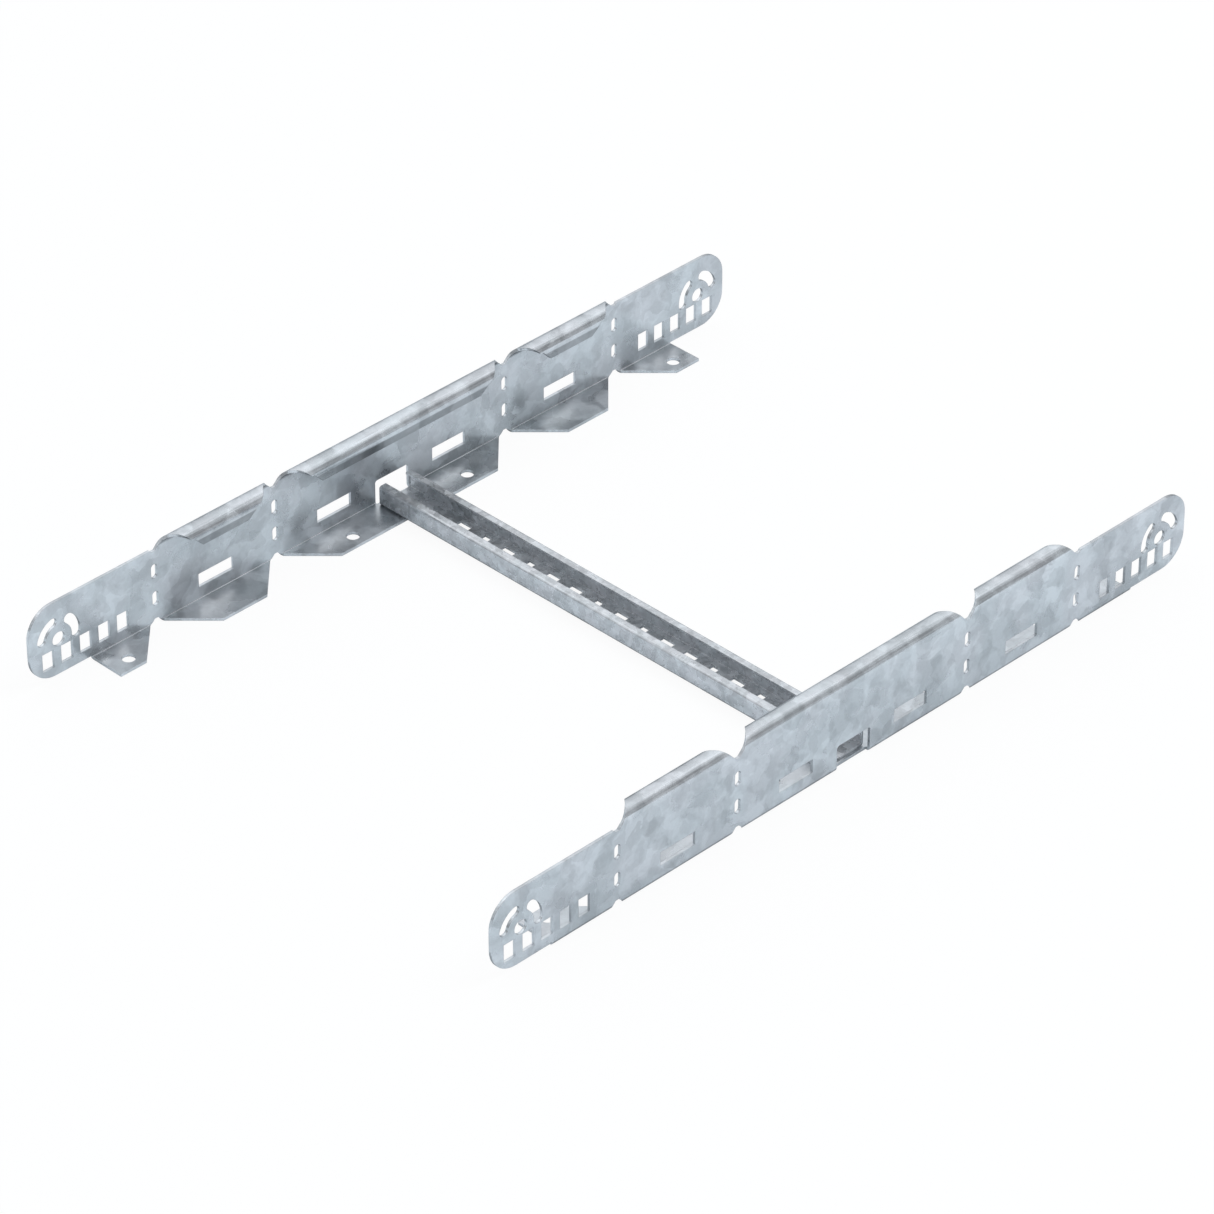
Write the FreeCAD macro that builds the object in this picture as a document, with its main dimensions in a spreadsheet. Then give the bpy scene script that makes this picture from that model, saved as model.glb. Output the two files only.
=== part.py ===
import FreeCAD, Part
import math
import os
import re

import Sketcher

# Connector for a cable ladder whose side rails are bent by hand at four perforated folds.
# Two mirrored side rails of folded sheet carry one slotted C rung that lies on their bottom flanges.
# X runs along the rails, Y from the right rail to the left one and Z up. The origin is on the floor,
# under the middle. A rail is drawn with Y as the depth inwards from the outer face of its web.

SIZES = [
    ("overall_width", "404", "over the outer faces of both webs"),
    ("rail_height", "63.5", "floor to the crown of the bead"),
    ("rail_sheet", "2", "sheet of the side rails"),
    ("middle_fold", "100", "middle of the rail to the first fold"),
    ("fold_pitch", "100", "first fold to second fold"),
    ("plate_length", "101.5", "second fold to the free end of an end plate"),
    ("flange_width", "28.5", "bottom flange from the outer face of the web"),
    ("flange_bend", "2.7", "outside radius between web and flange"),
    ("crown_bend", "6.5", "outside radius between web and crown"),
    ("crown_flat", "1.4", "level part of the crown between its two bends"),
    ("lip_bend", "6.5", "outside radius between crown and lip"),
    ("lip_length", "5.9", "straight part of the lip"),
    ("lip_lean", "10", "degrees that the lip leans back under the crown"),
    ("plate_drop", "7.7", "crown down to the top edge of an end plate"),
    ("plate_corner", "19.5", "corner radius at the free end of an end plate"),
    ("tab_length", "52.5", "second fold to the end of the bottom flange"),
    ("relief_width", "2.5", "flat bottom of the relief cut at a fold"),
    ("lower_relief", "4.8", "floor to the end of the lower relief cut"),
    ("upper_relief", "9.1", "crown down to the end of the upper relief cut"),
    ("fold_slot_width", "5", "perforation slot at a fold"),
    ("fold_slot_height", "10.3", "perforation slot over its round ends"),
    ("fold_slot_base", "14.4", "floor to the lower perforation slot"),
    ("fold_slot_drop", "18.6", "crown down to the upper perforation slot"),
    ("web_slot_length", "29", "long slot in the web between folds"),
    ("web_slot_height", "9.8", "long slot in the web between folds"),
    ("web_slot_base", "10.5", "floor to the long slot"),
    ("bolt_slot_width", "9.3", "bolt slot in the end plate"),
    ("bolt_slot_height", "13", "bolt slot in the end plate"),
    ("bolt_slot_base", "9.1", "floor to the bolt slots"),
    ("bolt_slot_inset", "14.5", "free end to the last bolt slot"),
    ("bolt_slot_pitch", "15", "one bolt slot to the next"),
    ("bolt_slot_count", "5", "bolt slots in one end plate"),
    ("pivot_inset", "23.5", "free end to the pivot hole"),
    ("pivot_rise", "28", "floor to the pivot hole"),
    ("pivot_bore", "10", "pivot hole"),
    ("arc_slot_radius", "14", "pivot to the middle line of an arc slot"),
    ("arc_slot_width", "7", "arc slot"),
    ("outer_arc_start", "17", "degrees above level, arc slot nearer the free end"),
    ("outer_arc_sweep", "55", "degrees between the centres of its round ends"),
    ("inner_arc_start", "-5", "degrees above level, arc slot nearer the fold"),
    ("inner_arc_sweep", "58", "degrees between the centres of its round ends"),
    ("flange_bore", "9", "round hole in the flange"),
    ("flange_bore_inset", "19", "outer face of the web to a flange hole"),
    ("tab_bore_reach", "38", "second fold to the flange hole on the end tab"),
    ("window_width", "29", "opening in the web at the rung"),
    ("window_top", "18.4", "floor to the top of the opening"),
    ("window_depth", "3.4", "outer face of the web to the end of the opening in the flange"),
    ("window_corner", "2", "upper corner radius of the opening"),
    ("rung_width", "28.9", "rung over its walls"),
    ("rung_height", "14.2", "rung from the flange up"),
    ("rung_sheet", "1.5", "sheet of the rung"),
    ("rung_bend", "1.9", "outside radius of the rung's bends"),
    ("rung_lip", "5.7", "inturned lip of the rung from the outer face of its wall"),
    ("rung_end_gap", "3.7", "inner face of the web to the end of the rung"),
    ("rung_slot_width", "16.4", "slots in the rung, across it"),
    ("long_slot_length", "10.5", "long slots in the rung, along it"),
    ("short_slot_length", "6", "short slots in the rung, along it"),
    ("rung_slot_pitch", "20", "one rung slot to the next"),
    ("slot_group_pitch", "100", "one group of five rung slots to the next"),
    ("slot_group_count", "3", "groups of five slots along the rung"),
]

doc = FreeCAD.newDocument("ladder_connector")
sheet = doc.addObject("Spreadsheet::Sheet", "Sizes")
for row, (name, amount, note) in enumerate(SIZES, start=1):
    sheet.set(f"A{row}", name)
    sheet.set(f"B{row}", amount)
    sheet.setAlias(f"B{row}", name)
    sheet.set(f"C{row}", note)
doc.recompute()


def bound(text):
    """Write each size named in an expression as its cell of the sheet."""
    return re.sub(r"\b[a-z]+(_[a-z]+)+\b", r"Sizes.\g<0>", text)


def number(text):
    """Work out an expression, to start a drawing where its dimensions will hold it."""
    return float(sheet.evalExpression(bound(text)))


def origin_feature(body, role):
    """Find a body's own plane or axis."""
    return next(feature for feature in body.Origin.OriginFeatures if feature.Role == role)


def new_sketch(body, name, plane, base=("0", "0", "0"), turn=(1, "0")):
    """Start a sketch on an origin plane, moved by base and turned about X or, with -1, against it."""
    sketch = body.newObject("Sketcher::SketchObject", name)
    sketch.AttachmentSupport = (origin_feature(body, plane), [""])
    sketch.MapMode = "FlatFace"
    way, angle = turn
    spin = FreeCAD.Rotation(FreeCAD.Vector(way, 0, 0), number(angle))
    sketch.AttachmentOffset = FreeCAD.Placement(FreeCAD.Vector(*map(number, base)), spin)
    for axis, text in zip("xyz", base):
        sketch.setExpression(f".AttachmentOffset.Base.{axis}", bound(text))
    if "_" in angle:
        sketch.setExpression(".AttachmentOffset.Rotation.Angle", bound(angle))
    return sketch


def dimension(sketch, kind, geometry, point, text):
    """Hold one coordinate of a point of the sketch at an expression."""
    rule = Sketcher.Constraint(kind, -1, 1, geometry, point, number(text))
    index = sketch.addConstraint(rule)
    sketch.setExpression(f"Constraints[{index}]", bound(text))


def trace(sketch, *corners):
    """Close an outline through its corners, each held by its coordinates.

    A corner (x, y) ends a straight edge. A corner (x, y, centre x, centre y, way) ends an arc
    that runs counterclockwise for way 1 and clockwise for way -1.
    """
    first = sketch.GeometryCount
    ends = []
    for index, corner in enumerate(corners):
        start = FreeCAD.Vector(*map(number, corners[index - 1][:2]))
        end = FreeCAD.Vector(*map(number, corner[:2]))
        edge = first + index
        if len(corner) == 2:
            sketch.addGeometry(Part.LineSegment(start, end))
            ends.append((1, 2))
            dimension(sketch, "DistanceX", edge, 2, corner[0])
            dimension(sketch, "DistanceY", edge, 2, corner[1])
            continue
        way = corner[4]
        centre = FreeCAD.Vector(*map(number, corner[2:4]))
        circle = Part.Circle(centre, FreeCAD.Vector(0, 0, 1), (end - centre).Length)
        rays = [start - centre, end - centre][::way]
        angles = [math.atan2(ray.y, ray.x) for ray in rays]
        sketch.addGeometry(Part.ArcOfCircle(circle, *angles))
        ends.append((1, 2)[::way])
        dimension(sketch, "DistanceX", edge, ends[-1][1], corner[0])
        dimension(sketch, "DistanceY", edge, ends[-1][1], corner[1])
        chord = end - start
        if abs(chord.y) > abs(chord.x):
            dimension(sketch, "DistanceX", edge, 3, corner[2])
        else:
            dimension(sketch, "DistanceY", edge, 3, corner[3])
    for index, (start, end) in enumerate(ends):
        before = first + (index - 1) % len(ends)
        meeting = Sketcher.Constraint("Coincident", before, ends[index - 1][1], first + index, start)
        sketch.addConstraint(meeting)


def rectangle(sketch, left, bottom, right, top):
    """Draw a rectangle between two opposite corners."""
    trace(sketch, (left, bottom), (right, bottom), (right, top), (left, top))


def bore(sketch, across, up, diameter):
    """Draw a round hole about its centre."""
    centre = FreeCAD.Vector(number(across), number(up), 0)
    circle = Part.Circle(centre, FreeCAD.Vector(0, 0, 1), number(diameter) / 2)
    edge = sketch.addGeometry(circle)
    dimension(sketch, "DistanceX", edge, 3, across)
    dimension(sketch, "DistanceY", edge, 3, up)
    index = sketch.addConstraint(Sketcher.Constraint("Diameter", edge, number(diameter)))
    sketch.setExpression(f"Constraints[{index}]", bound(diameter))


def pad(body, name, sketch, length, reverse=False, symmetric=False):
    """Raise a sketch into solid metal."""
    feature = body.newObject("PartDesign::Pad", name)
    feature.Profile = sketch
    feature.setExpression("Length", bound(length))
    feature.Reversed = reverse
    feature.SideType = "Symmetric" if symmetric else "One side"
    doc.recompute()
    return feature


def removed(body, feature, before):
    """Recompute after a cut and make sure that it took metal away."""
    body.Tip = feature
    doc.recompute()
    if feature.Shape.Volume >= before.Volume:
        raise RuntimeError(f"{feature.Name} cuts nothing")
    return feature


def pocket(body, name, sketch, depth, reverse=False):
    """Cut a sketch into the metal."""
    before = body.Shape
    feature = body.newObject("PartDesign::Pocket", name)
    feature.Profile = sketch
    feature.setExpression("Length", bound(depth))
    feature.Reversed = reverse
    return removed(body, feature, before)


def row_of(body, name, features, axis, pitch, count):
    """Repeat cuts along an axis."""
    before = body.Shape
    pattern = body.newObject("PartDesign::LinearPattern", name)
    pattern.Originals = features
    pattern.Direction = (origin_feature(body, axis), [""])
    pattern.Mode = "Spacing"
    pattern.setExpression("Offset", bound(pitch))
    pattern.setExpression("Occurrences", bound(count))
    return removed(body, pattern, before)


# Places on the rail that several cuts share
SECOND_FOLD = "(middle_fold + fold_pitch)"
RAIL_END = f"({SECOND_FOLD} + plate_length)"
TAB_END = f"({SECOND_FOLD} + tab_length)"
PLATE_TOP = "(rail_height - plate_drop)"
CROWN_START = "(rail_height - crown_bend)"
LIP_AXIS_DEPTH = "(crown_bend + crown_flat)"
LIP_AXIS_RISE = "(rail_height - lip_bend)"
UPPER_RELIEF_END = "(rail_height - upper_relief)"

# Half widths of a relief cut. In the flat sheet its sides open at 45 degrees, so the half width
# grows by the length of sheet that is passed, which in a bend is measured along its middle.
AT_FLANGE_BEND = "(relief_width / 2 + lower_relief - flange_bend)"
AT_FLANGE = f"({AT_FLANGE_BEND} + pi / 2 * (flange_bend - rail_sheet / 2))"
AT_CROWN_BEND = f"(relief_width / 2 + {CROWN_START} - {UPPER_RELIEF_END})"
AT_CROWN = f"({AT_CROWN_BEND} + pi / 2 * (crown_bend - rail_sheet / 2))"
AT_LIP_BEND = f"({AT_CROWN} + {LIP_AXIS_DEPTH} - crown_bend)"
AT_LIP = f"({AT_LIP_BEND} + (90 + lip_lean) / 180 * pi * (lip_bend - rail_sheet / 2))"


def folded_sheet(body):
    """Fold flange and web along half the rail, and the bead over them as far as the second fold."""
    sketch = new_sketch(body, "flange_and_web", "YZ_Plane")
    trace(
        sketch,
        ("flange_width", "rail_sheet"),
        ("flange_width", "0"),
        ("flange_bend", "0"),
        ("0", "flange_bend", "flange_bend", "flange_bend", -1),
        ("0", PLATE_TOP),
        ("rail_sheet", PLATE_TOP),
        ("rail_sheet", "flange_bend"),
        ("flange_bend", "rail_sheet", "flange_bend", "flange_bend", 1),
    )
    pad(body, "folded_flange", sketch, TAB_END)

    sketch = new_sketch(body, "bead", "YZ_Plane")
    lean_in, lean_down = "cos(lip_lean)", "sin(lip_lean)"
    inner_bend = "(lip_bend - rail_sheet)"
    outer_depth = f"({LIP_AXIS_DEPTH} + lip_bend * {lean_in})"
    outer_rise = f"({LIP_AXIS_RISE} - lip_bend * {lean_down})"
    inner_depth = f"({LIP_AXIS_DEPTH} + {inner_bend} * {lean_in})"
    inner_rise = f"({LIP_AXIS_RISE} - {inner_bend} * {lean_down})"
    drop, back = f"lip_length * {lean_in}", f"lip_length * {lean_down}"
    trace(
        sketch,
        ("rail_sheet", PLATE_TOP),
        ("0", PLATE_TOP),
        ("0", CROWN_START),
        ("crown_bend", "rail_height", "crown_bend", CROWN_START, -1),
        (LIP_AXIS_DEPTH, "rail_height"),
        (outer_depth, outer_rise, LIP_AXIS_DEPTH, LIP_AXIS_RISE, -1),
        (f"{outer_depth} - {back}", f"{outer_rise} - {drop}"),
        (f"{inner_depth} - {back}", f"{inner_rise} - {drop}"),
        (inner_depth, inner_rise),
        (LIP_AXIS_DEPTH, "rail_height - rail_sheet", LIP_AXIS_DEPTH, LIP_AXIS_RISE, 1),
        ("crown_bend", "rail_height - rail_sheet"),
        ("rail_sheet", CROWN_START, "crown_bend", CROWN_START, 1),
    )
    pad(body, "folded_bead", sketch, SECOND_FOLD)


def end_plate(body):
    """Lengthen the web into the end plate with its round corners."""
    sketch = new_sketch(body, "plate_outline", "XZ_Plane")
    corner = f"({RAIL_END} - plate_corner)"
    low, high = "(flange_bend + plate_corner)", f"({PLATE_TOP} - plate_corner)"
    trace(
        sketch,
        (TAB_END, "flange_bend"),
        (corner, "flange_bend"),
        (RAIL_END, low, corner, low, 1),
        (RAIL_END, high),
        (corner, PLATE_TOP, corner, high, 1),
        (TAB_END, PLATE_TOP),
    )
    pad(body, "plate", sketch, "rail_sheet", reverse=True)


def bend_relief(body, name, axis, bend, turns, start, end):
    """Cut the relief through a bend, as its half width grows from start to end over three turns."""
    sections = []
    for turn, half in zip(turns, (start, f"({start} + {end}) / 2", end)):
        sketch = new_sketch(body, f"{name}_section", "XY_Plane", ("0", *axis), turn)
        inside, outside = f"({bend} - rail_sheet) / 2", f"{bend} * 2"
        rectangle(sketch, f"middle_fold - {half}", inside, f"middle_fold + {half}", outside)
        sections.append(sketch)
    before = body.Shape
    loft = body.newObject("PartDesign::SubtractiveLoft", name)
    loft.Profile = sections[0]
    loft.Sections = sections[1:]
    loft.Ruled = True
    return removed(body, loft, before)


def wedge(sketch, half, narrow, wide, growth):
    """Draw the part of a relief cut that opens at 45 degrees from one edge line to another."""
    trace(
        sketch,
        (f"middle_fold - {half}", narrow),
        (f"middle_fold + {half}", narrow),
        (f"middle_fold + ({half} + {growth})", wide),
        (f"middle_fold - ({half} + {growth})", wide),
    )


def fold_cuts(body):
    """Weaken the rail at its folds, with relief cuts top and bottom and two slots between them."""
    cuts = []
    web = new_sketch(body, "web_relief", "XZ_Plane")
    half = "relief_width / 2"
    wedge(web, half, "lower_relief", "flange_bend", "(lower_relief - flange_bend)")
    wedge(web, half, UPPER_RELIEF_END, CROWN_START, f"({CROWN_START} - {UPPER_RELIEF_END})")
    cuts.append(pocket(body, "web_relief_cut", web, "rail_sheet"))

    axis, turns = ("flange_bend", "flange_bend"), [(-1, "180"), (-1, "135"), (-1, "90")]
    ends = AT_FLANGE_BEND, AT_FLANGE
    cuts.append(bend_relief(body, "flange_bend_relief", axis, "flange_bend", turns, *ends))
    axis, turns = ("crown_bend", CROWN_START), [(1, "180"), (1, "135"), (1, "90")]
    ends = AT_CROWN_BEND, AT_CROWN
    cuts.append(bend_relief(body, "crown_bend_relief", axis, "crown_bend", turns, *ends))
    axis = (LIP_AXIS_DEPTH, LIP_AXIS_RISE)
    turns = [(1, "90"), (1, "(90 - lip_lean) / 2"), (-1, "lip_lean")]
    ends = AT_LIP_BEND, AT_LIP
    cuts.append(bend_relief(body, "lip_bend_relief", axis, "lip_bend", turns, *ends))

    flange = new_sketch(body, "flange_relief", "XY_Plane")
    past = "(flange_width + rail_sheet)"
    wedge(flange, AT_FLANGE, "flange_bend", past, f"({past} - flange_bend)")
    cuts.append(pocket(body, "flange_relief_cut", flange, "rail_sheet", reverse=True))

    crown = new_sketch(body, "crown_relief", "XY_Plane", ("0", "0", "rail_height"))
    wedge(crown, AT_CROWN, "crown_bend", LIP_AXIS_DEPTH, f"({LIP_AXIS_DEPTH} - crown_bend)")
    cuts.append(pocket(body, "crown_relief_cut", crown, "rail_sheet"))

    # The lip's own plane: its origin is the axis of its bend, and its Y points up along the lip
    lip = new_sketch(body, "lip_relief", "XZ_Plane", ("0", LIP_AXIS_RISE, f"-{LIP_AXIS_DEPTH}"), (1, "lip_lean"))
    past = "(lip_length + rail_sheet)"
    wedge(lip, AT_LIP, "0", f"-{past}", past)
    cuts.append(pocket(body, "lip_relief_cut", lip, "lip_bend * 2"))

    slots = new_sketch(body, "fold_slots", "XZ_Plane")
    left, right = "middle_fold - fold_slot_width / 2", "middle_fold + fold_slot_width / 2"
    for base in ("fold_slot_base", "(rail_height - fold_slot_drop - fold_slot_height)"):
        low = f"({base} + fold_slot_width / 2)"
        high = f"({base} + fold_slot_height - fold_slot_width / 2)"
        trace(
            slots,
            (right, high),
            (left, high, "middle_fold", high, 1),
            (left, low),
            (right, low, "middle_fold", low, 1),
        )
    cuts.append(pocket(body, "fold_slot_cut", slots, "rail_sheet"))

    slot = new_sketch(body, "web_slot", "XZ_Plane")
    ends = [f"middle_fold / 2 {sign} web_slot_length / 2" for sign in "-+"]
    rectangle(slot, ends[0], "web_slot_base", ends[1], "web_slot_base + web_slot_height")
    cuts.append(pocket(body, "web_slot_cut", slot, "rail_sheet"))
    row_of(body, "second_fold_cuts", cuts, "X_Axis", "fold_pitch", "2")


def arc_slot(sketch, start, sweep, way):
    """Draw a slot that is bent about the pivot, towards the free end for way 1, else towards the fold."""
    across, up = f"({RAIL_END} - pivot_inset)", "pivot_rise"

    def place(radius, angle):
        return f"{across} + {way} * {radius} * cos({angle})", f"{up} + {radius} * sin({angle})"

    inner = "(arc_slot_radius - arc_slot_width / 2)"
    outer = "(arc_slot_radius + arc_slot_width / 2)"
    end = f"({start} + {sweep})"
    trace(
        sketch,
        (*place(outer, end), across, up, way),
        (*place(inner, end), *place("arc_slot_radius", end), way),
        (*place(inner, start), across, up, -way),
        (*place(outer, start), *place("arc_slot_radius", start), way),
    )


def end_plate_cuts(body):
    """Cut the row of bolt slots, the pivot hole and the two slots that are bent about it."""
    slot = new_sketch(body, "bolt_slot", "XZ_Plane")
    first = f"({RAIL_END} - bolt_slot_inset - bolt_slot_pitch * (bolt_slot_count - 1))"
    ends = [f"{first} {sign} bolt_slot_width / 2" for sign in "-+"]
    rectangle(slot, ends[0], "bolt_slot_base", ends[1], "bolt_slot_base + bolt_slot_height")
    cut = pocket(body, "bolt_slot_cut", slot, "rail_sheet")
    row_of(body, "bolt_slots", [cut], "X_Axis", "bolt_slot_pitch", "bolt_slot_count")

    pivot = new_sketch(body, "pivot", "XZ_Plane")
    bore(pivot, f"{RAIL_END} - pivot_inset", "pivot_rise", "pivot_bore")
    arc_slot(pivot, "outer_arc_start", "outer_arc_sweep", 1)
    arc_slot(pivot, "inner_arc_start", "inner_arc_sweep", -1)
    pocket(body, "pivot_cut", pivot, "rail_sheet")


def flange_cuts(body):
    """Cut the round flange holes and the window at the rung, which runs on into the flange."""
    holes = new_sketch(body, "flange_holes", "XY_Plane")
    bore(holes, "middle_fold / 2", "flange_bore_inset", "flange_bore")
    bore(holes, f"{SECOND_FOLD} + tab_bore_reach", "flange_bore_inset", "flange_bore")
    pocket(body, "flange_hole_cut", holes, "rail_sheet", reverse=True)

    window = new_sketch(body, "window", "XZ_Plane")
    side, corner = "(window_width / 2)", "(window_width / 2 - window_corner)"
    trace(
        window,
        ("0", "-rail_sheet"),
        (side, "-rail_sheet"),
        (side, "window_top - window_corner"),
        (corner, "window_top", corner, "window_top - window_corner", 1),
        ("0", "window_top"),
    )
    pocket(body, "window_cut", window, "window_depth")


def side_rail():
    """Make the right rail: half of it, then its mirror image about the middle."""
    body = doc.addObject("PartDesign::Body", "right_side_rail")
    folded_sheet(body)
    end_plate(body)
    fold_cuts(body)
    end_plate_cuts(body)
    flange_cuts(body)
    whole = body.newObject("PartDesign::Mirrored", "whole_rail")
    whole.TransformMode = "Whole shape"
    whole.MirrorPlane = (origin_feature(body, "YZ_Plane"), [""])
    body.Tip = whole
    body.setExpression(".Placement.Base.y", bound("-overall_width / 2"))
    doc.recompute()
    return body


def rung():
    """Fold the C rung, open at the top, and slot its floor in groups of five."""
    body = doc.addObject("PartDesign::Body", "rung")
    section = new_sketch(body, "rung_section", "XZ_Plane", ("0", "rail_sheet", "0"))
    side, top = "(rung_width / 2)", "rung_height"
    turn, rise = f"({side} - rung_bend)", "(rung_height - rung_bend)"
    wall = f"({side} - rung_sheet)"
    edge = f"({side} - rung_lip)"
    trace(
        section,
        (edge, top),
        (edge, "rung_height - rung_sheet"),
        (turn, "rung_height - rung_sheet"),
        (wall, rise, turn, rise, -1),
        (wall, "rung_bend"),
        (turn, "rung_sheet", turn, "rung_bend", -1),
        (f"-{turn}", "rung_sheet"),
        (f"-{wall}", "rung_bend", f"-{turn}", "rung_bend", -1),
        (f"-{wall}", rise),
        (f"-{turn}", "rung_height - rung_sheet", f"-{turn}", rise, -1),
        (f"-{edge}", "rung_height - rung_sheet"),
        (f"-{edge}", top),
        (f"-{turn}", top),
        (f"-{side}", rise, f"-{turn}", rise, 1),
        (f"-{side}", "rung_bend"),
        (f"-{turn}", "0", f"-{turn}", "rung_bend", 1),
        (turn, "0"),
        (side, "rung_bend", turn, "rung_bend", 1),
        (side, rise),
        (turn, top, turn, rise, 1),
    )
    pad(body, "rung_channel", section, "overall_width - 2 * (rail_sheet + rung_end_gap)", symmetric=True)

    group = new_sketch(body, "slot_group", "XY_Plane", ("0", "0", "rail_sheet"))
    side = "rung_slot_width / 2"
    lengths = ["long_slot_length", "short_slot_length"]
    for place in range(-2, 3):
        middle = f"({place} * rung_slot_pitch - slot_group_pitch * (slot_group_count - 1) / 2)"
        half = f"{lengths[place % 2]} / 2"
        rectangle(group, f"-{side}", f"{middle} - {half}", side, f"{middle} + {half}")
    cut = pocket(body, "slot_group_cut", group, "rung_sheet", reverse=True)
    row_of(body, "slot_groups", [cut], "Y_Axis", "slot_group_pitch", "slot_group_count")
    return body


def other_hand(body, name):
    """Mirror a rail to the other side of the connector."""
    mirrored = doc.addObject("Part::Mirroring", name)
    mirrored.Source = body
    mirrored.Normal = FreeCAD.Vector(0, 1, 0)
    return mirrored


right = side_rail()
pieces = [right, other_hand(right, "left_side_rail"), rung()]
doc.recompute()

for item in doc.Objects:
    if "Invalid" in item.State or "Error" in item.State:
        raise RuntimeError(f"{item.Name} failed")
for piece in pieces:
    if piece.Shape.isNull() or not piece.Shape.isValid() or len(piece.Shape.Solids) != 1:
        raise RuntimeError(f"{piece.Name} is not one sound solid")

os.makedirs("parts", exist_ok=True)
for piece in pieces:
    piece.Label = piece.Name
    piece.Shape.exportStep(f"parts/{piece.Label}.step")
    box = piece.Shape.optimalBoundingBox(True, False)
    print(piece.Label, [round(size, 2) for size in (box.XLength, box.YLength, box.ZLength)])
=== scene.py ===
import math

import bpy
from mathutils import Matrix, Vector

# A connector for a cable ladder: two side rails and a rung of galvanised sheet, on a pale studio floor.
# The solids carry every shape. This script gives them their zinc, the floor, the light and the camera.

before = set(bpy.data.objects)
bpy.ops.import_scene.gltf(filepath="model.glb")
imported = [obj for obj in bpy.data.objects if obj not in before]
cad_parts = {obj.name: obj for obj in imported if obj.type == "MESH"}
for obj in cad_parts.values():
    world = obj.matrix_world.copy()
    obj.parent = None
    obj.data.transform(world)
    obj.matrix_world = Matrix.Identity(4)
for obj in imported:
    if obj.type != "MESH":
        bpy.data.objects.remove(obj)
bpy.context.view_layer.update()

WHITE = (1.0, 1.0, 1.0, 1.0)

# Camera, solved from the photograph: place in metres, angles in degrees
CAMERA_PLACE = (-2.1796, -2.1734, 2.1669)
CAMERA_TILT = 55.017
CAMERA_HEADING = -44.996
LENS_MM = 180.58
SENSOR_MM = 36.0
CLIP_START = 0.05

# Zinc: tone is its colour, metallic its share of bare metal on dark and on pale patches, grain how fine
# its pattern is, rounding the radius of its cut edges in metres, streak_way how far the streaks of its
# bends are drawn out along each axis, and streaked the share of them that its flat sides have as well
RAIL_ZINC = {
    "tone": (0.60, 0.633, 0.663),
    "metallic": (0.90, 0.72),
    "grain": 1.0,
    "rounding": 0.0005,
    "streak_way": (0.03, 1.0, 1.0),
    "streaked": 0.0,
}
RUNG_ZINC = {
    "tone": (0.582, 0.608, 0.636),
    "metallic": (0.64, 0.42),
    "grain": 2.9,
    "rounding": 0.0004,
    "streak_way": (1.0, 0.03, 1.0),
    "streaked": 0.35,
}
LEFT_RAIL_SEED, RIGHT_RAIL_SEED, RUNG_SEED = 5.6, 7.7, 12.4
SEED_WAY = (1.0, 0.7, 0.3)

# Scales of the zinc's noises, as repeats in a metre, and how far the warp shifts the pattern
WARP_SCALE, WARP_SHARE = 60.0, 0.016
PATCH_SCALE, PATCH_EDGE = 40.0, (0.47, 0.56)
BLOT_SCALE, BLOT_EDGE = 78.0, (0.44, 0.58)
FLAKE_SCALE = 62.0
HAZE_SCALE, HAZE_EDGE = 8.0, (0.3, 0.7)
SPECKLE_SCALE = 520.0
STREAK_SCALE, STREAK_EDGE = 700.0, (0.3, 0.7)
HUE_SCALE, HUE_EDGE = 30.0, (0.35, 0.65)

# Weight of each in the tone, the range of their sum, and the tone at both ends of it
PATCH_WEIGHT, BLOT_WEIGHT, FLAKE_WEIGHT = 0.32, 0.24, 0.32
HAZE_WEIGHT, SPECKLE_WEIGHT, STREAK_WEIGHT = 0.12, 0.36, 0.95
SUM_RANGE = (0.18, 1.12)
DARK_TONE, PALE_TONE = 0.775, 1.225
COOL_HUE = (0.990, 1.003, 1.004, 1.0)
WARM_HUE = (1.008, 0.998, 1.0, 1.0)

# A bend is where the largest part of the normal falls from the first number to the second
BEND_FACING = (0.99, 0.90)
BEND_ROUGHNESS = 0.62
# Faces that look down get painted shade, a darkening of their colour, fully so where the normal's Z
# reaches the second number
PAINTED_SHADE_FACING = (-0.02, -0.17)
PAINTED_SHADE_TONE = 0.62

ZINC_ROUGHNESS = (0.27, 0.38)
ROUGHNESS_RANGE = (0.2, 1.8)
ZINC_GRAZING = (0.35, 0.36, 0.37, 1.0)
BUMP_STRENGTH = 0.05
PATCH_RELIEF = 0.00014
SPECKLE_RELIEF = 0.00006
BEVEL_SAMPLES = 6

# Floor: its paint, and the share of plain white that the camera and reflections see in place of it
FLOOR_SIZE = 60.0
FLOOR_PAINT = (0.855, 0.91, 0.95, 1.0)
GLOW_TO_CAMERA = 0.93
GLOW_TO_GLOSS = 0.12

# Brightness of the studio by height: (sine of the elevation, strength)
SKY = [(0.0, 0.44), (0.22, 0.48), (0.54, 0.40), (0.80, 0.64), (1.0, 0.64)]
SKY_TINT = (0.96, 0.978, 1.0)
# A broad bright side behind the object: heading, elevation, strength, cosines of its outer and inner edge
GLOW_SIDE = (70.0, 56.0, 0.65, 0.20, 1.0)

# Key lamp: heading and elevation in degrees, distance and side in metres, power in watts
KEY_HEADING, KEY_ELEVATION = -35.0, 52.0
KEY_DISTANCE, KEY_SIDE, KEY_WATTS = 6.0, 3.6, 116.0


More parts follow.
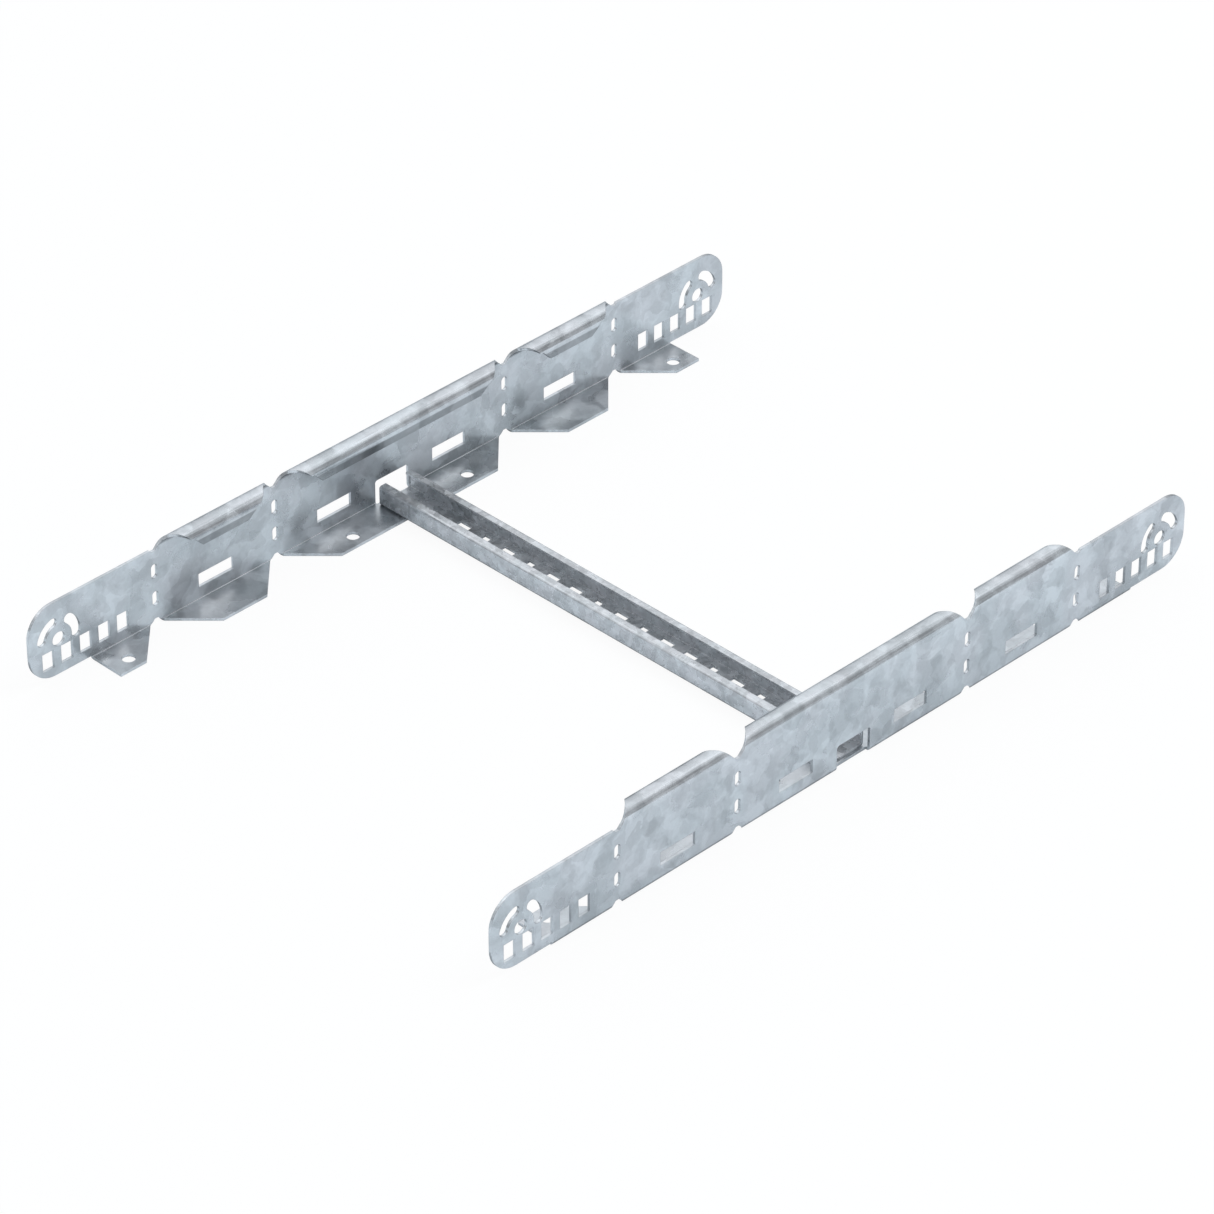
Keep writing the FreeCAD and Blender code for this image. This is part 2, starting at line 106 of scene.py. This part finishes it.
class Shading:
    """Adds nodes to the emptied tree of a material or a world."""

    def __init__(self, owner):
        owner.use_nodes = True
        self.tree = owner.node_tree
        self.tree.nodes.clear()

    def add(self, kind, settings=None, **sockets):
        """Add a node, set its settings, and set or link its inputs, named with _ for spaces."""
        node = self.tree.nodes.new(kind)
        for key, value in (settings or {}).items():
            setattr(node, key, value)
        for key, value in sockets.items():
            self.feed(node, key.replace("_", " "), value)
        return node

    def feed(self, node, socket, value):
        """Set an input, or link it where the value is another node's output."""
        target = node.inputs[int(socket[3:])] if socket.startswith("no ") else node.inputs[socket]
        if isinstance(value, bpy.types.NodeSocket):
            self.tree.links.new(value, target)
        else:
            target.default_value = value

    def math(self, operation, first, second):
        """Work out one step of arithmetic."""
        return self.add("ShaderNodeMath", {"operation": operation}, no_0=first, no_1=second).outputs[0]

    def noise(self, place, scale, detail=2.0, rough=0.5):
        """Spread a noise over a place."""
        node = self.add("ShaderNodeTexNoise", Vector=place, Scale=scale, Detail=detail, Roughness=rough)
        return node.outputs["Fac"]

    def spread(self, value, low, high, start=0.0, end=1.0, smooth=True):
        """Carry a value from one range to another."""
        kind = "SMOOTHSTEP" if smooth else "LINEAR"
        node = self.add("ShaderNodeMapRange", {"interpolation_type": kind, "clamp": True}, Value=value,
                        From_Min=low, From_Max=high, To_Min=start, To_Max=end)
        return node.outputs["Result"]

    def blend(self, factor, first, second, way="MIX"):
        """Mix two colours."""
        node = self.add("ShaderNodeMix", {"data_type": "RGBA", "blend_type": way}, Factor=factor)
        self.feed(node, "no 6", first)
        self.feed(node, "no 7", second)
        return node.outputs[2]

    def bends(self, facing):
        """Find where a surface faces none of the axes squarely."""
        sizes = self.add("ShaderNodeVectorMath", {"operation": "ABSOLUTE"}, no_0=facing).outputs[0]
        across, along, up = self.add("ShaderNodeSeparateXYZ", Vector=sizes).outputs
        return self.math("MAXIMUM", self.math("MAXIMUM", across, along), up)


def galvanised(name, seed, tone, metallic, grain, rounding, streak_way, streaked):
    """Hot-dip zinc: cool grey metal under a thin dull patina, with cloudy patches and speckle.

    Bends carry fine streaks, faces that look down carry painted shade that darkens their colour, and cut
    edges are softly rounded.
    """
    material = bpy.data.materials.new(name)
    s = Shading(material)
    place = s.add("ShaderNodeTexCoord").outputs["Object"]
    start = tuple(seed * part for part in SEED_WAY)
    place = s.add("ShaderNodeMapping", Vector=place, Location=start).outputs[0]
    warp = s.add("ShaderNodeTexNoise", Vector=place, Scale=WARP_SCALE * grain, Detail=3.0)
    bent = s.add("ShaderNodeMix", {"data_type": "VECTOR"}, Factor=WARP_SHARE / grain)
    s.feed(bent, "no 4", place)
    s.feed(bent, "no 5", warp.outputs["Color"])
    bent = bent.outputs[1]

    # Patches and smaller blots, crisp flakes, haze over the whole sheet and a fine speckle
    patches = s.spread(s.noise(bent, PATCH_SCALE * grain, 4.0), *PATCH_EDGE)
    blots = s.spread(s.noise(bent, BLOT_SCALE * grain, 3.0), *BLOT_EDGE)
    flakes = s.add("ShaderNodeTexVoronoi", Vector=bent, Scale=FLAKE_SCALE * grain)
    flake = s.add("ShaderNodeSeparateColor", Color=flakes.outputs["Color"])
    haze = s.spread(s.noise(place, HAZE_SCALE), *HAZE_EDGE)
    speckle = s.noise(place, SPECKLE_SCALE, 3.0, 0.7)

    facing = s.add("ShaderNodeNewGeometry").outputs["Normal"]
    bend = s.spread(s.bends(facing), *BEND_FACING, streaked, 1.0)
    drawn_out = s.add("ShaderNodeMapping", Vector=place, Scale=streak_way).outputs[0]
    streaks = s.spread(s.noise(drawn_out, STREAK_SCALE, 3.0, 0.6), *STREAK_EDGE, -0.5, 0.5, smooth=False)
    streaks = s.math("MULTIPLY", streaks, bend)

    share = s.math("MULTIPLY", patches, PATCH_WEIGHT)
    for part, weight in (
        (blots, BLOT_WEIGHT),
        (flake.outputs[0], FLAKE_WEIGHT),
        (haze, HAZE_WEIGHT),
        (speckle, SPECKLE_WEIGHT),
        (streaks, STREAK_WEIGHT),
    ):
        share = s.math("ADD", share, s.math("MULTIPLY", part, weight))
    share = s.spread(share, *SUM_RANGE, smooth=False)
    dark = tuple(part * DARK_TONE for part in tone) + (1.0,)
    pale = tuple(min(1.0, part * PALE_TONE) for part in tone) + (1.0,)
    hue = s.blend(s.spread(s.noise(place, HUE_SCALE * grain), *HUE_EDGE), COOL_HUE, WARM_HUE)
    colour = s.blend(1.0, s.blend(share, dark, pale), hue, "MULTIPLY")
    # Painted shade: the colour of faces that look down is darkened
    lowness = s.add("ShaderNodeSeparateXYZ", Vector=facing).outputs[2]
    colour = s.add("ShaderNodeVectorMath", {"operation": "SCALE"}, no_0=colour,
                   Scale=s.spread(lowness, *PAINTED_SHADE_FACING, 1.0, PAINTED_SHADE_TONE)).outputs[0]

    rough = s.spread(s.math("ADD", flake.outputs[1], patches), *ROUGHNESS_RANGE, *ZINC_ROUGHNESS)
    rough = s.math("MULTIPLY", rough, s.spread(bend, 0.0, 1.0, 1.0, BEND_ROUGHNESS))
    shine = s.spread(s.math("ADD", patches, blots), 0.0, 2.0, *metallic)
    edge = s.add("ShaderNodeBevel", {"samples": BEVEL_SAMPLES}, Radius=rounding).outputs[0]
    bump = s.add("ShaderNodeBump", Strength=BUMP_STRENGTH, Distance=PATCH_RELIEF / grain,
                 Height=patches, Normal=edge).outputs[0]
    bump = s.add("ShaderNodeBump", Strength=BUMP_STRENGTH, Distance=SPECKLE_RELIEF,
                 Height=speckle, Normal=bump).outputs[0]
    metal = s.add("ShaderNodeBsdfPrincipled", Base_Color=colour, Roughness=rough, Metallic=shine,
                  Specular_Tint=ZINC_GRAZING, Normal=bump)
    s.add("ShaderNodeOutputMaterial", Surface=metal.outputs[0])
    return material


def pale_floor():
    """A floor that shows white and keeps the object's shadow."""
    material = bpy.data.materials.new("pale_floor")
    s = Shading(material)
    paint = s.add("ShaderNodeBsdfDiffuse", Color=FLOOR_PAINT).outputs[0]
    glow = s.add("ShaderNodeEmission", Color=WHITE, Strength=1.0).outputs[0]
    path = s.add("ShaderNodeLightPath").outputs
    gloss = s.math("MAXIMUM", path["Is Glossy Ray"], path["Is Transmission Ray"])
    share = s.math("ADD", s.math("MULTIPLY", path["Is Camera Ray"], GLOW_TO_CAMERA),
                   s.math("MULTIPLY", gloss, GLOW_TO_GLOSS))
    mix = s.add("ShaderNodeMixShader", no_0=share, no_1=paint, no_2=glow)
    s.add("ShaderNodeOutputMaterial", Surface=mix.outputs[0])
    return material


def direction(heading, elevation):
    """The unit vector that points to a heading and elevation in degrees."""
    turn, rise = math.radians(heading), math.radians(elevation)
    return Vector((math.cos(rise) * math.cos(turn), math.cos(rise) * math.sin(turn), math.sin(rise)))


def studio_sky():
    """A soft studio all round, brighter overhead and on the side behind the object."""
    world = bpy.data.worlds.new("studio")
    s = Shading(world)
    way = s.add("ShaderNodeTexCoord").outputs["Generated"]
    height = s.add("ShaderNodeSeparateXYZ", Vector=way).outputs["Z"]
    ramp = s.add("ShaderNodeValToRGB", Fac=height)
    ramp.color_ramp.interpolation = "EASE"
    while len(ramp.color_ramp.elements) < len(SKY):
        ramp.color_ramp.elements.new(0.5)
    for stop, (sine, strength) in zip(ramp.color_ramp.elements, SKY):
        stop.position = sine
        stop.color = tuple(strength * part for part in SKY_TINT) + (1.0,)
    heading, elevation, strength, outer, inner = GLOW_SIDE
    toward = s.add("ShaderNodeVectorMath", {"operation": "DOT_PRODUCT"}, no_0=way,
                   no_1=direction(heading, elevation)).outputs["Value"]
    side = s.spread(toward, outer, inner, 0.0, strength)
    light = s.add("ShaderNodeVectorMath", {"operation": "MULTIPLY_ADD"}, no_0=side, no_1=SKY_TINT,
                  no_2=ramp.outputs["Color"]).outputs[0]
    sky = s.add("ShaderNodeBackground", Color=light)
    s.add("ShaderNodeOutputWorld", Surface=sky.outputs[0])
    return world


def softbox(name, heading, elevation, distance, side, watts):
    """A soft square lamp that faces the object from a heading and elevation in degrees."""
    lamp = bpy.data.lights.new(name, "AREA")
    lamp.shape = "RECTANGLE"
    lamp.size = lamp.size_y = side
    lamp.energy = watts
    piece = bpy.data.objects.new(name, lamp)
    way = direction(heading, elevation)
    piece.location = way * distance
    piece.rotation_euler = way.to_track_quat("Z", "Y").to_euler()
    bpy.context.scene.collection.objects.link(piece)
    return piece


zinc = {
    "left_side_rail": galvanised("rail_zinc_left", LEFT_RAIL_SEED, **RAIL_ZINC),
    "right_side_rail": galvanised("rail_zinc_right", RIGHT_RAIL_SEED, **RAIL_ZINC),
    "rung": galvanised("rung_zinc", RUNG_SEED, **RUNG_ZINC),
}
for name, material in zinc.items():
    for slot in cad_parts[name].material_slots:
        slot.material = material

# Floor
bpy.ops.mesh.primitive_plane_add(size=FLOOR_SIZE, location=(0, 0, 0))
floor = bpy.context.object
floor.name = "studio_floor"
floor.data.materials.append(pale_floor())

# Light. The lamp lights the floor, and the metal shows only the studio and the floor
bpy.context.scene.world = studio_sky()
key = softbox("key_softbox", KEY_HEADING, KEY_ELEVATION, KEY_DISTANCE, KEY_SIDE, KEY_WATTS)
key.visible_glossy = False

# Camera
lens = bpy.data.cameras.new("photo_camera")
lens.lens = LENS_MM
lens.sensor_width = SENSOR_MM
lens.clip_start = CLIP_START
camera = bpy.data.objects.new("photo_camera", lens)
camera.location = CAMERA_PLACE
camera.rotation_euler = (math.radians(CAMERA_TILT), 0.0, math.radians(CAMERA_HEADING))
bpy.context.scene.collection.objects.link(camera)
bpy.context.scene.camera = camera

bpy.context.scene.view_settings.view_transform = "Standard"
